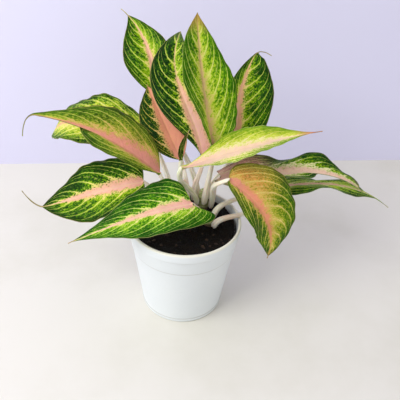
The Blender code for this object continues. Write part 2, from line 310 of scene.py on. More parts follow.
# ----------------------------------------
# Potting soil. Damp peat and composted bark, filled to just under the rim and settled by
# watering: a dark lumpy surface, higher round the stems, with loose crumbs and bark chips on it.
# ----------------------------------------
SOIL_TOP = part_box("soil")[1].z / MM
SOIL_RADIUS = (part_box("soil")[1].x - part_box("soil")[0].x) / 2.0 / MM
SOIL_DARK = "#080504"
SOIL_BROWN = "#1f150f"
SOIL_FIBRE = "#4a3324"
SOIL_DIP = 0.9
LUMP_HEIGHT = 0.9
GRAIN_HEIGHT = 0.3
SOIL_RINGS = 46
SOIL_SIDES = 150
SOIL_SKIRT = ((SOIL_RADIUS - 2.0, SOIL_TOP - 12.0), (FOOT_RADIUS - 2.2, 5.5), (FOOT_RADIUS - 5.0, 3.0))


def soil_height(x, y):
    """Height of the settled surface in mm, lower at the wall than in the middle."""
    reach = math.hypot(x, y) / SOIL_RADIUS
    lumps = noise.fractal(Vector((x, y, 3.0)) * 0.11, 0.9, 2.1, 4) * LUMP_HEIGHT
    grain = noise.noise(Vector((x, y, 9.0)) * 0.9) * GRAIN_HEIGHT
    return SOIL_TOP - LUMP_HEIGHT - SOIL_DIP * reach ** 6 + (lumps + grain) * (1.0 - 0.5 * reach ** 8)


soil_mix, tree, shader, place = new_material("potting_soil")
lumps = cloud(place, 180.0, 5.0, 0.65)
grains = cloud(place, 1400.0, 3.0, 0.6)
earth = tint(soft_step(lumps, 0.40, 0.72), shade(SOIL_DARK), shade(SOIL_BROWN))
fibres = soft_step(grains, 0.62, 0.74) * 0.55
earth = tint(fibres, earth, shade(SOIL_FIBRE))
damp = soft_step(lumps, 0.35, 0.6, 0.72, 0.95)
finish_surface(shader, earth, damp, bump(lumps + grains * 0.5, 0.0012, 0.9))
shader.inputs["Specular IOR Level"].default_value = 0.3

bed = bmesh.new()
rings = []
for k in range(SOIL_RINGS):
    radius = (SOIL_RADIUS - 1.2) * math.sqrt((k + 0.5) / SOIL_RINGS)
    ring = []
    for i in range(SOIL_SIDES):
        angle = math.tau * (i + 0.5 * (k % 2)) / SOIL_SIDES
        x = radius * math.cos(angle)
        y = radius * math.sin(angle)
        ring.append(bed.verts.new((x * MM, y * MM, soil_height(x, y) * MM)))
    rings.append(ring)
rings += [ring_at(bed, radius, z, SOIL_SIDES) for radius, z in SOIL_SKIRT]
close_rings(bed, rings)
soil = add_piece("soil_bed", bed, [soil_mix], 80.0)
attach(soil, "root")
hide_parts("soil")

# ----------------------------------------
# Loose crumbs and bark chips. Grains of peat and bits of bark, left on the soil by watering: each
# is a rough, flattened nugget that lies half sunk in the settled surface.
# ----------------------------------------
CHIP_DARK = "#170f0a"
CHIP_PALE = "#4f3826"
NUGGET_FLATNESS = 0.6
CRUMB_SEED = 11
CRUMBS = (("soil_crumbs", 3400, 0.45, 1.25, 1), ("bark_chips", 60, 1.2, 2.4, 2))


def new_group(name, kind, inputs, outputs):
    """A node group with sockets of the kinds given, and its inputs by name."""
    tree = bpy.data.node_groups.new(name, kind)
    for way, sockets in (("INPUT", inputs), ("OUTPUT", outputs)):
        for label, holds in sockets.items():
            tree.interface.new_socket(label, in_out=way, socket_type="NodeSocket" + holds)
    return tree, {socket.name: Wire(socket) for socket in tree.nodes.new("NodeGroupInput").outputs}


def give(tree, *values):
    """Links the outputs of a node group, in order."""
    for value, socket in zip(values, tree.nodes.new("NodeGroupOutput").inputs):
        tree.links.new(value.socket, socket)


def strewn(name, material, count, smallest, largest, facets, seed):
    """A Geometry Nodes tree that strews rough nuggets over the upper face of a mesh."""
    sockets = {"Ground": "Geometry", "Per Square Metre": "Float", "Smallest": "Float",
               "Largest": "Float", "Facets": "Int", "Seed": "Int"}
    tree, given = new_group(name, "GeometryNodeTree", sockets, {"Nuggets": "Geometry"})
    normal = add_node(tree, "GeometryNodeInputNormal", {})
    up = add_node(tree, "ShaderNodeSeparateXYZ", {0: normal}, "Z")
    is_top = add_node(tree, "FunctionNodeCompare", {0: up, 1: 0.7},
                      data_type="FLOAT", operation="GREATER_THAN")
    points = add_node(tree, "GeometryNodeDistributePointsOnFaces",
                      {"Mesh": given["Ground"], "Selection": is_top,
                       "Density": given["Per Square Metre"], "Seed": given["Seed"]})
    ball = add_node(tree, "GeometryNodeMeshIcoSphere", {"Radius": 1.0, "Subdivisions": given["Facets"]})
    dent = add_node(tree, "ShaderNodeTexNoise", {"Scale": 1.3, "Detail": 1.0}, "Color")
    dent = add_node(tree, "ShaderNodeVectorMath", {0: dent, 1: (-0.5, -0.5, -0.5)}, operation="ADD")
    dent = add_node(tree, "ShaderNodeVectorMath", {0: dent, "Scale": 1.5}, operation="SCALE")
    nugget = add_node(tree, "GeometryNodeSetPosition", {"Geometry": ball, "Offset": dent})
    turn = add_node(tree, "FunctionNodeRandomValue",
                    {0: (0.0, 0.0, 0.0), 1: (math.tau, math.tau, math.tau), "Seed": given["Seed"]},
                    data_type="FLOAT_VECTOR")
    size = add_node(tree, "FunctionNodeRandomValue",
                    {2: given["Smallest"], 3: given["Largest"], "Seed": given["Seed"]}, 1,
                    data_type="FLOAT")
    flat = add_node(tree, "ShaderNodeCombineXYZ", {0: size, 1: size, 2: size * NUGGET_FLATNESS})
    spread = add_node(tree, "GeometryNodeInstanceOnPoints",
                      {"Points": points, "Instance": nugget, "Rotation": turn, "Scale": flat})
    real = add_node(tree, "GeometryNodeRealizeInstances", {0: spread})
    made = add_node(tree, "GeometryNodeSetMaterial", {"Geometry": real, "Material": material})
    give(tree, made)
    area = math.pi * (SOIL_RADIUS * MM) ** 2
    values = {"Per Square Metre": count / area, "Smallest": smallest * MM, "Largest": largest * MM,
              "Facets": facets, "Seed": seed}
    return tree, values


def grown_from(source, name, tree, values):
    """Runs a Geometry Nodes tree on a copy of a piece and keeps the plain mesh that it makes."""
    holder = put(name, source.data)
    modifier = holder.modifiers.new(name, "NODES")
    modifier.node_group = tree
    for socket in tree.interface.items_tree:
        if socket.in_out == "INPUT" and socket.name in values:
            modifier[socket.identifier] = values[socket.name]
    make_plain(holder)
    holder.data.name = name
    return holder


chip_bark, tree, shader, place = new_material("bark_chip")
grain = cloud(place, 700.0, 4.0, 0.6)
bark = tint(soft_step(grain, 0.35, 0.7), shade(CHIP_DARK), shade(CHIP_PALE))
finish_surface(shader, bark, soft_step(grain, 0.3, 0.7, 0.7, 0.9),
               bump(grain, 0.0005, 0.8))
finishes = {"soil_crumbs": soil_mix, "bark_chips": chip_bark}
for index, (name, count, smallest, largest, facets) in enumerate(CRUMBS):
    tree, values = strewn(name, finishes[name], count, smallest, largest, facets, CRUMB_SEED + index)
    crumbs = grown_from(soil, name, tree, values)
    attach(crumbs, "root")

# ----------------------------------------
# Canes. Three short fleshy stems, one to each shoot, rooted in the soil: pale green, ringed by
# the scars of shed leaves, and ending in the rolled spear of the next leaf between the stalks.
# ----------------------------------------
CANES = {"cane_back": 6, "cane_left": 5, "cane_front": 4}
CANE_SIDES = 48
CANE_ROWS = 36
CANE_TAPER = 0.22
SCAR_DEPTH = 0.5
SCAR_SHARE = 0.2
SPEAR_LENGTH = 5.0
SPEAR_ROWS = 8
SPEAR_WIDTH = 0.75
CANE_PALE = "#c9cf96"
CANE_GREEN = "#93a45c"
SCAR_BROWN = "#8b7448"
CANE_EARTHY = "#5a4630"

cane_skin, tree, shader, place = new_material("cane_skin")
mottle = cloud(place, 260.0, 4.0)
rise = add_node(tree, "ShaderNodeSeparateXYZ", {0: place}, "Z")
scars = add_node(tree, "ShaderNodeTexWave",
                 {"Vector": place, "Scale": 72.0, "Distortion": 1.6, "Detail": 2.0},
                 "Fac", wave_type="BANDS", bands_direction="Z")
skin = tint(soft_step(mottle, 0.35, 0.7), shade(CANE_PALE), shade(CANE_GREEN))
scarred = soft_step(scars, 0.72, 0.95) * 0.6
skin = tint(scarred, skin, shade(SCAR_BROWN))
near_soil = soft_step(rise, (SOIL_TOP + 6.7) * MM, (SOIL_TOP - 0.3) * MM)
skin = tint(near_soil, skin, shade(CANE_EARTHY))
finish_surface(shader, skin, soft_step(mottle, 0.3, 0.7, 0.42, 0.6),
               bump(mottle - scars, 0.0004, 0.6))

cane_axes = {}
for cane_name, scar_count in CANES.items():
    low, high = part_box(cane_name)
    centre = ((low.x + high.x) / 2.0 / MM, (low.y + high.y) / 2.0 / MM)
    radius = (high.x - low.x) / 2.0 / MM
    top = high.z / MM
    cane_axes[cane_name] = (centre[0], centre[1], radius)
    profile = [(radius * 0.7, low.z / MM), (radius * 0.93, low.z / MM + 3.0)]
    for k in range(CANE_ROWS):
        share = k / CANE_ROWS
        z = SOIL_TOP - 2.0 + (top - SOIL_TOP - 3.0) * share
        scar = abs((share * scar_count) % 1.0 - 0.5) * 2.0
        notch = max(0.0, scar - 1.0 + SCAR_SHARE) / SCAR_SHARE
        taper = 1.0 - CANE_TAPER * share ** 2
        profile.append((radius * 0.97 * taper - SCAR_DEPTH * notch, z))
    for k in range(SPEAR_ROWS):
        share = (k + 1) / SPEAR_ROWS
        z = top - SPEAR_LENGTH + (SPEAR_LENGTH - 0.2) * share
        profile.append((radius * SPEAR_WIDTH * math.cos(share * 1.45), z))
    cane = add_piece(cane_name + "_stem", turned(profile, CANE_SIDES, centre), [cane_skin], 60.0)
    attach(cane, "root")
    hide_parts(cane_name)

# ----------------------------------------
# Leaves. Fifteen, each grown as one piece: a fleshy channelled stalk that clasps the cane with
# its foot, a raised midrib, and a thin satin blade drawn out to a fine tip. The blade is sunk a
# little along its side veins, which leave the midrib aslant and sweep on towards the tip.
# ----------------------------------------
ROWS_ALONG = 108
STALK_ROWS = 44
HALF_STEPS = 18
STALK_BASE = 3.6
STALK_NECK = 2.1
STALK_NARROWS_BY = 0.85
BLADE_THICKNESS = 0.5
MARGIN_THICKNESS = 0.24
RIB_END = 0.32
GUIDE_SHARES = (0.33, 0.67)
RIB_COLUMNS = 0.16
ROW_LEAD = 1.6
ROW_BOW = 1.4
TIP_FULLNESS = 0.06
CREASE_DEPTH = 0.3
CREASE_WIDTH = 1.1
CHANNEL_DEPTH = 0.55
CHANNEL_WIDTH = 0.42
STALK_LEAN = 0.15
FOOT_PINCH = 0.35
MOTTLING_APART = 37.0
VEIN_SWEEP = 0.62
VEIN_DEPTH = 0.35
VEIN_GROOVE = 0.22
RIPPLES = 2.5
FRILLS = 9.0
FRILL_DEPTH = 0.022
DOME = 0.18
WISP_START = 0.84


def eased(value, end, start=0.0):
    """0 at start, 1 at end, smooth between."""
    share = np.clip((value - start) / (end - start), 0.0, 1.0)
    return share * share * (3.0 - 2.0 * share)


def unit(v):
    return v / np.maximum(np.linalg.norm(v, axis=-1, keepdims=True), 1e-9)


def squared_off(direction, tangent):
    """The part of a direction that is square to a tangent."""
    return unit(direction - tangent * (direction * tangent).sum(-1, keepdims=True))


def curve(points, t):
    """Points and slopes of a cubic at an array of shares, straight on before its start."""
    a, b, c, d = points
    s = np.maximum(t, 0.0)[..., None]
    r = 1.0 - s
    place = a * r ** 3 + b * 3 * r * r * s + c * 3 * r * s * s + d * s ** 3
    slope = (b - a) * 3 * r * r + (c - b) * 6 * r * s + (d - c) * 3 * s * s
    place = place + slope * np.minimum(t, 0.0)[..., None]
    return place, slope


def turned_about(v, axis, angle):
    """Turns vectors about unit axes."""
    c = np.cos(angle)[..., None]
    s = np.sin(angle)[..., None]
    return v * c + np.cross(axis, v) * s + axis * (v * axis).sum(-1, keepdims=True) * (1 - c)


def half_width(x, base, taper, drip):
    """Share of the full half width at x from neck to tip."""
    peak = base / (base + taper)
    full = peak ** base * (1.0 - peak) ** taper
    body = np.minimum(1.0, x / (1.0 - drip))
    full_end = TIP_FULLNESS * x * np.sqrt(np.maximum(0.0, 1.0 - x))
    return body ** base * (1.0 - body) ** taper / full + full_end


def vein_share(t, u):
    """Where the side vein through a point leaves the midrib. Each vein sweeps on towards the tip, and
    runs ever closer to the line of the margin."""
    swept = 0.4 * np.abs(u) + 0.6 * (1.0 - np.sqrt(np.maximum(0.0, 1.0 - u * u)))
    left = np.maximum(0.0, 1.0 - t)
    rest = 1.0 - swept
    bent = 4.0 * (1.0 - VEIN_SWEEP) * swept * left
    return 1.0 - 2.0 * left / (rest + np.sqrt(rest * rest + bent) + 1e-9)


def leaf_section(radius, groove):
    """Sideways and up-and-down places round a stalk, top left to right and then back below."""
    s = np.linspace(-1.0, 1.0, 2 * HALF_STEPS + 1)
    q = radius * np.sin(s * math.pi / 2.0)
    lift = np.sqrt(np.maximum(0.0, radius ** 2 - q ** 2))
    channel = 1.0 - groove * np.exp(-(q / (CHANNEL_WIDTH * radius)) ** 2)
    return q, lift * channel + MARGIN_THICKNESS / 2.0, -lift - MARGIN_THICKNESS / 2.0


def grow_leaf(name, cane, foot, neck, tip, face, bend, halves, bases, tapers, fold, veins, number,
              materials, drips=0.03, ears=0.0, ripple=(2, 0), twist=0, wisp=(0, 0, 0)):
    """Builds one leaf. foot is the way it leaves the cane and its height there; bend holds, for two
    guide points of the midrib, the lift towards the face and the sway to the right; halves, bases,
    tapers, drips and ears are for the left and the right flank, or one number for both; fold is in
    degrees at the neck and at the tip, or one number for both; ripple is the depth and phase of the
    margin's waves, and wisp is how far the tip curls."""
    neck, tip, face, curl = (np.array(v, float) for v in (neck, tip, face, wisp))
    halves, bases, tapers, drips, ears, fold = (
        np.broadcast_to(np.array(v, float), 2) for v in (halves, bases, tapers, drips, ears, fold))
    chord = tip - neck
    along = unit(chord)
    up = squared_off(face, along)
    right = np.cross(along, up)
    guides = [neck + chord * share + up * lift + right * sway
              for share, (lift, sway) in zip(GUIDE_SHARES, bend)]
    rib = (neck, *guides, tip)

    # blade: a grid of rows from neck to tip, each running out from the midrib to both margins
    x = (1.0 - np.cos(math.pi * np.linspace(0.0, 1.0, ROWS_ALONG))) / 2.0
    x[-1] = 0.9995
    s = np.linspace(-1.0, 1.0, 2 * HALF_STEPS + 1)
    sign = np.sign(s)[None, :]
    flank = (s >= 0).astype(int)
    rod = np.maximum(RIB_END, STALK_NECK * (1.0 - x) ** 1.3)[:, None]
    width = np.stack([half_width(x, *shape) for shape in zip(bases, tapers, drips)], 1)[:, flank]
    half = np.maximum(halves[flank][None, :] * width, rod)
    core = RIB_COLUMNS + (1.0 - RIB_COLUMNS) * (1.0 - eased(x, 0.05))[:, None]
    reach = np.abs(s)[None, :]
    inner = rod * np.sin(np.minimum(reach / core, 1.0) * math.pi / 2.0)
    outer_part = np.maximum(reach - core, 0.0) / np.maximum(1.0 - core, 1e-6)
    q = np.where(reach <= core, inner, rod + (half - rod) * outer_part)
    u = np.clip(q / half, 0.0, 1.0)
    near = x / 0.08
    ear = ears[flank][None, :] * (near * np.exp(1.0 - near))[:, None]
    rib_at = (x ** ROW_LEAD)[:, None]
    t = rib_at + (x[:, None] - ear - rib_at) * u ** ROW_BOW
    place, slope = curve(rib, t)
    late = (np.maximum(0.0, t - WISP_START) / (1.0 - WISP_START))[..., None]
    place = place + curl * late ** 2
    tangent = unit(slope + curl * late * (2.0 / (1.0 - WISP_START)))
    normal = squared_off(np.broadcast_to(face, tangent.shape), tangent)
    normal = turned_about(normal, tangent, math.radians(twist) * (t - 0.5))
    side = np.cross(tangent, normal)
    lean = np.radians(fold[0] + (fold[1] - fold[0]) * x)[:, None]
    depth, phase = ripple
    wave = depth * sign * u * u * width * np.sin(RIPPLES * math.tau * x + math.radians(phase))[:, None]
    frill = FRILL_DEPTH * half * u ** 6 * np.sin(math.tau * FRILLS * x + number)[:, None]
    vein = vein_share(t, u)
    beat = np.abs((vein * veins + 0.25 * (sign + 1.0)) % 1.0 - 0.5) * 2.0
    sunk = np.exp(-(beat / VEIN_GROOVE) ** 2) * eased(u, 0.25) * (1.0 - u ** 5) * eased(x, 0.12)[:, None]
    lift = q * np.sin(lean) - DOME * q * q / half + wave + frill - VEIN_DEPTH * sunk
    sheet = place + side * (sign * q * np.cos(lean))[..., None] + normal * lift[..., None]
    cross = np.cross(np.gradient(sheet, axis=1), np.gradient(sheet, axis=0))
    cross = unit(cross * np.sign((cross * normal).sum(-1, keepdims=True) + 1e-12))
    trust = eased(x, 0.10, 0.02)[:, None, None]
    outward = unit(normal * (1.0 - trust) + cross * trust)
    bulge = np.sqrt(np.maximum(0.0, rod ** 2 - q ** 2))
    crown = 1.0 - eased(x, 0.10)[:, None]
    crease = CREASE_DEPTH * np.exp(-(q / CREASE_WIDTH) ** 2) * (1.0 - crown)
    body = (BLADE_THICKNESS - MARGIN_THICKNESS) * (1.0 - u ** 4) * eased(x, 0.04)[:, None]
    above = MARGIN_THICKNESS / 2.0 + bulge * crown - crease
    below = MARGIN_THICKNESS / 2.0 + body + bulge
    top = sheet + outward * above[..., None]
    under = sheet - outward * below[..., None]

    # stalk: from the foot beside the cane up into the neck, channelled on its upper side
    cx, cy, cane_radius = cane_axes[cane]
    heading, rise = foot
    away = np.array([math.cos(math.radians(heading)), math.sin(math.radians(heading)), 0.0])
    start = np.array([cx, cy, SOIL_TOP + rise]) + away * (cane_radius + STALK_BASE + 0.3)
    span = np.linalg.norm(neck - start)
    upright = np.array([0.0, 0.0, 1.0])
    leaving = unit(upright + away * STALK_LEAN)
    arriving = unit(upright + unit(guides[0] - neck))
    stalk = (start, start + leaving * span * 0.4, neck - arriving * span * 0.3, neck)
    shares = np.linspace(0.0, 1.0, STALK_ROWS)
    stalk_place, stalk_slope = curve(stalk, shares)
    stalk_tangent = unit(stalk_slope)
    normals = [normal[0, HALF_STEPS]]
    for k in range(STALK_ROWS - 2, -1, -1):
        normals.insert(0, squared_off(normals[0], stalk_tangent[k]))
    stalk_top = []
    stalk_under = []
    for k, share in enumerate(shares[:-1]):
        thick = STALK_BASE + (STALK_NECK - STALK_BASE) * min(1.0, share / STALK_NARROWS_BY)
        thick *= 1.0 - FOOT_PINCH * math.exp(-share / 0.03)
        across_by, above_by, below_by = leaf_section(thick, CHANNEL_DEPTH * (1.0 - 0.8 * share))
        sideways = np.cross(stalk_tangent[k], normals[k])
        ring = stalk_place[k] + sideways * across_by[:, None]
        stalk_top.append(ring + normals[k] * above_by[:, None])
        stalk_under.append(ring + normals[k] * below_by[:, None])

    # one closed skin: every ring runs left to right over the top and back underneath
    tops = np.concatenate([np.array(stalk_top), top])
    unders = np.concatenate([np.array(stalk_under), under])
    rings = np.concatenate([tops, unders[:, ::-1]], axis=1)
    count = rings.shape[1]
    total = rings.shape[0]
    index = np.arange(total * count).reshape(total, count)
    following = np.roll(index, -1, axis=1)
    quads = np.stack([index[:-1], index[1:], following[1:], following[:-1]], -1).reshape(-1, 4)
    mesh = bpy.data.meshes.new(name)
    faces = quads.tolist() + [index[0].tolist(), index[-1][::-1].tolist()]
    mesh.from_pydata((rings.reshape(-1, 3) * MM).tolist(), [], faces)

    # where each point lies: on the blade by share, and in mm for the fine mottling
    lead = np.zeros((STALK_ROWS - 1, 2 * HALF_STEPS + 1))
    stretch = np.linalg.norm(np.diff(place[:, HALF_STEPS], axis=0), axis=1)
    run = np.concatenate([[0.0], np.cumsum(stretch)])
    run = np.interp(t, np.concatenate([[-1.0], x ** ROW_LEAD, [1.5]]),
                    np.concatenate([[-run[-1]], run, [run[-1] * 1.5]]))
    stalk_run = (shares[:-1, None] - 1.0) * span + lead
    stalk_q = np.array([leaf_section(1.0, 0.0)[0]] * (STALK_ROWS - 1)) * 2.5

    def over_rings(blade_values, stalk_values):
        grid = np.concatenate([stalk_values, blade_values])
        return np.concatenate([grid, grid[:, ::-1]], axis=1).reshape(-1)

    shares_of = (over_rings(t, lead), over_rings(sign * u, lead), over_rings(vein, lead))
    mm_of = (over_rings(run, stalk_run), over_rings(sign * q, stalk_q),
             np.full(total * count, number * MOTTLING_APART))
    for label, columns in (("blade_place", shares_of), ("blade_mm", mm_of)):
        layer = mesh.attributes.new(label, "FLOAT_VECTOR", "POINT")
        layer.data.foreach_set("vector", np.stack(columns, 1).astype(np.float32).reshape(-1))
    kind = np.ones((total - 1, count), int)
    kind[:, :2 * HALF_STEPS] = 0
    kind[:STALK_ROWS - 1] = 2
    slots = np.concatenate([kind.reshape(-1), [2, 1]]).astype(np.int32)
    for each in materials:
        mesh.materials.append(each)
    mesh.polygons.foreach_set("material_index", slots)
    mesh.shade_smooth()
    mesh.validate()
    mesh.update()
    leaf = put(name + "_grown", mesh)
    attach(leaf, "root")
    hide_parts(name)
    return leaf


# ----------------------------------------
# Variegation. The blade's cells carry the pattern: a pink flame up the middle with a cream fringe
# that runs out along the veins, and a green ground, deepest at the margin, that is freckled with
# yellow-green between the veins.
# ----------------------------------------
FLAME_BASE = "#d48f8c"
PLACES = {"Place": "blade_place", "Millimetres": "blade_mm"}
COLOURS = ("Deep Green", "Green", "Freckle", "Vein", "Fringe", "Pink", "Blush", "Tip Colour")
FIGURES = ("Veins", "Vein Width", "Pink Reach", "Blush Reach", "Softness", "Tip Length")
PAIRS = ("Pink", "Freckles", "Blush")

sockets = {**dict.fromkeys(PLACES, "Vector"), **dict.fromkeys(COLOURS, "Color"),
           **dict.fromkeys(FIGURES, "Float"),
           **{label + side: "Float" for label in PAIRS for side in (" Left", " Right")}}
variegation, given = new_group("leaf_variegation", "ShaderNodeTree", sockets,
                               {"Colour": "Color", "Gloss": "Float", "Relief": "Float"})
along_at, across_at, vein_at = add_node(variegation, "ShaderNodeSeparateXYZ", {0: given["Place"]}, None)
run_mm, side_mm, leaf_number = add_node(variegation, "ShaderNodeSeparateXYZ",
                                        {0: given["Millimetres"]}, None)
on_right = figure("GREATER_THAN", across_at, 0.0)
out = abs(across_at)
from_rib = abs(side_mm)


def by_side(label):
    """The left or the right flank's own value."""
    flanks = {0: on_right, 2: given[label + " Left"], 3: given[label + " Right"]}
    return add_node(variegation, "ShaderNodeMix", flanks)


def swing(value, size):
    """A noise centred on nought, of a given size."""
    return (value - 0.5) * size


# three scales of mottling: patches, blotches, and a grain drawn out along the veins
patches = cloud(given["Millimetres"], 0.045, 2.0)
blotches = cloud(given["Millimetres"], 0.17, 3.0, 0.6)
vein_line = vein_at + swing(blotches, 0.03)
grain_place = add_node(variegation, "ShaderNodeCombineXYZ", {
    0: vein_line * 110.0, 1: (run_mm + from_rib) * 0.6, 2: leaf_number + on_right * 9.0})
grain = cloud(grain_place, 0.5, 3.0, 0.7)

# side veins: beat is 0 on a vein and 1 half way to the next, where a fainter vein runs
beat = vein_line * given["Veins"] + on_right * 0.5
beat = abs(figure("FRACT", beat) - 0.5) * 2.0
line_width = given["Vein Width"] * soft_step(out, 0.0, 1.0, 1.2, 0.6)
widths_off = beat / line_width
vein_mask = soft_step(widths_off, 1.0, 0.25) * soft_step(out, 0.995, 0.9)
vein_mask = vein_mask * soft_step(blotches, 0.25, 0.55, 0.6, 1.0)
minor_mask = soft_step((1.0 - beat) / line_width, 0.9, 0.2, 0.0, 0.5) * soft_step(out, 0.95, 0.7)
minor_mask = minor_mask * soft_step(blotches, 0.42, 0.58)
vein_mask = figure("MAXIMUM", vein_mask, minor_mask)
halo = soft_step(widths_off, 4.0, 0.6)
near_vein = (1.0 - beat) ** 4.0

# flame: over is how far outside its ragged edge a point lies, as a share of the half width
shrink = figure("SUBTRACT", 1.0, along_at / given["Pink Reach"], clamp=True)
edge = by_side("Pink") * shrink ** 0.6
rag = (swing(grain, 1.3) + swing(blotches, 0.9)) * (edge + given["Softness"] + 0.06)
over = out - edge - rag
lick = near_vein * (edge * 0.8 + 0.08)
breadth = given["Softness"] + 0.01
fringe_mask = soft_step((over - lick) / breadth, 1.0, 0.0) * soft_step(along_at, 1.0, 0.93)
pink_mask = soft_step(over / breadth, 0.5, -0.7)

# green ground: from deep green through green to yellow-green as the cells hold less green
pale = by_side("Freckles") * soft_step(out, 1.0, 0.0, 0.06, 0.42)
pale = pale + halo * 0.20 + soft_step(over, 0.35, 0.0) * 0.14
pale = pale + swing(patches, 0.5) + swing(blotches, 0.35) + swing(grain, 2.0)
pale = pale - soft_step(out, 0.8, 1.0, 0.0, 0.12)
colour = tint(soft_step(pale, -0.02, 0.26), given["Deep Green"], given["Green"])
colour = tint(soft_step(pale, 0.24, 0.48), colour, given["Freckle"])
colour = tint(soft_step(pale, 0.55, 0.85, 0.0, 0.6), colour, given["Vein"])
blush = by_side("Blush") * soft_step(out, 1.05, 0.3, 0.2, 1.0)
blush = blush * soft_step(along_at / given["Blush Reach"], 1.0, 0.3)
blush = figure("MULTIPLY", blush, soft_step(grain, 0.38, 0.58, 0.35, 1.0), clamp=True)
colour = tint(blush, colour, given["Blush"])
colour = tint(vein_mask * 0.92, colour, given["Vein"])

# pink over cream over green, then the midrib, the margin and the tip
fringe_mask = fringe_mask * soft_step(grain, 0.38, 0.56, 0.15, 0.95)
colour = tint(fringe_mask, colour, given["Fringe"])
flesh = tint(soft_step(over, -0.22, 0.02, 0.0, 0.5), given["Pink"], given["Blush"])
flesh = tint(soft_step(grain, 0.45, 0.75, 0.0, 0.4), flesh, given["Fringe"])
flesh = tint(soft_step(along_at, 0.25, -0.02, 0.0, 0.45), flesh, shade(FLAME_BASE))
colour = tint(pink_mask, colour, flesh)
rib_mask = soft_step(from_rib, 0.8, 0.3, 0.0, 0.55)
colour = tint(rib_mask, colour, tint(0.5, given["Pink"], given["Fringe"]))
colour = tint(soft_step(out, 0.975, 0.995, 0.0, 0.35), colour, given["Fringe"])
tip_mask = soft_step(along_at - (1.0 - given["Tip Length"]), -0.09, 0.09, 0.0, 0.85)
colour = tint(tip_mask, colour, given["Tip Colour"])
value = soft_step(patches, 0.25, 0.75, 0.86, 1.04)
grey = add_node(variegation, "ShaderNodeCombineColor", {0: value, 1: value, 2: value})
colour = tint(1.0, colour, grey, "MULTIPLY")

# relief and gloss: veins and midrib lie sunk, and the cells between them swell a little
cells = cloud(given["Millimetres"], 2.6, 1.0)
relief = cells * 0.3 - vein_mask - rib_mask * 0.8 + swing(grain, 0.5)
gloss = soft_step(blotches, 0.2, 0.8, 0.40, 0.54) - vein_mask * 0.06
give(variegation, colour, gloss, relief)

LEAF_COLOURS = {
    "leaf_green": dict(deep_green="#143200", green="#346c04", freckle="#8fb210", vein="#dadc6c",
                       fringe="#e6d27a", pink="#efb8ac", blush="#e0a05c", tip_colour="#cdbb86"),
    "leaf_lime": dict(deep_green="#376f06", green="#689c10", freckle="#abc62c", vein="#e2e484",
                      fringe="#e8e08c", pink="#eec4ac", blush="#ecb888", tip_colour="#cf7f66"),
    "leaf_bronze": dict(deep_green="#2b5206", green="#64801a", freckle="#b9a632", vein="#e4c968",
                        fringe="#e8b970", pink="#ec9c84", blush="#d58346", tip_colour="#c08a5a"),
}
UNDERSIDE = "#a3b97c"
UNDERSIDE_DULLNESS = 0.15
STALK_CREAM = "#faf5e8"
STALK_PINK = "#f3d6c6"
STALK_GREEN = "#cfd89a"


def key_of(label):
    """The keyword under which the tables hold an input of the pattern."""
    return label.lower().replace(" ", "_")


def blade_skin(leaf_name, slot, look, pale):
    """The upper skin of one blade, or with pale set, its duller and paler underside."""
    made, tree, shader, _ = new_material(leaf_name + ("_under" if pale else "_upper"))
    inputs = {}
    for label, attribute in PLACES.items():
        inputs[label] = add_node(tree, "ShaderNodeAttribute", {}, "Vector", attribute_name=attribute)
    shades = {**LEAF_COLOURS[slot], **look["shades"]}
    for label in COLOURS:
        inputs[label] = shade(shades[key_of(label)])
    for label in FIGURES:
        inputs[label] = look[key_of(label)]
    for label in PAIRS:
        inputs[label + " Left"], inputs[label + " Right"] = look[key_of(label)]
    colour, gloss, relief = add_node(tree, "ShaderNodeGroup", inputs, None, node_tree=variegation)
    if pale:
        colour = tint(look["pale_back"], colour, shade(UNDERSIDE))
        gloss = gloss + UNDERSIDE_DULLNESS
    finish_surface(shader, colour, gloss, bump(relief, 0.0003, 0.7))
    shader.inputs["Specular IOR Level"].default_value = 0.06
    return made


def stalk_skin(name, pinkness, greenness):
    """Fleshy stalk: cream, flushed pink or green, with fine lengthwise streaks."""
    made, tree, shader, _ = new_material(name)
    lengths = add_node(tree, "ShaderNodeAttribute", {}, "Vector", attribute_name="blade_mm")
    streaked = add_node(tree, "ShaderNodeMapping", {"Vector": lengths, "Scale": (0.035, 1.0, 1.0)})
    streaks = cloud(streaked, 1.6, 3.0, 0.6)
    broad = cloud(lengths, 0.05, 2.0)
    flushed = soft_step(broad, 0.3, 0.7) * pinkness
    skin = tint(flushed, shade(STALK_CREAM), shade(STALK_PINK))
    skin = tint(soft_step(streaks, 0.35, 0.7) * greenness, skin, shade(STALK_GREEN))
    finish_surface(shader, skin, soft_step(streaks, 0.3, 0.7, 0.38, 0.55),
                   bump(streaks, 0.0003, 0.6))
    shader.inputs["Subsurface Weight"].default_value = 0.2
    shader.inputs["Subsurface Radius"].default_value = (0.003, 0.002, 0.001)
    return made


STALK_SKINS = {"pale": stalk_skin("stalk_pale", 0.5, 0.35), "pink": stalk_skin("stalk_pink", 1.0, 0.15),
               "green": stalk_skin("stalk_green", 0.2, 0.9)}

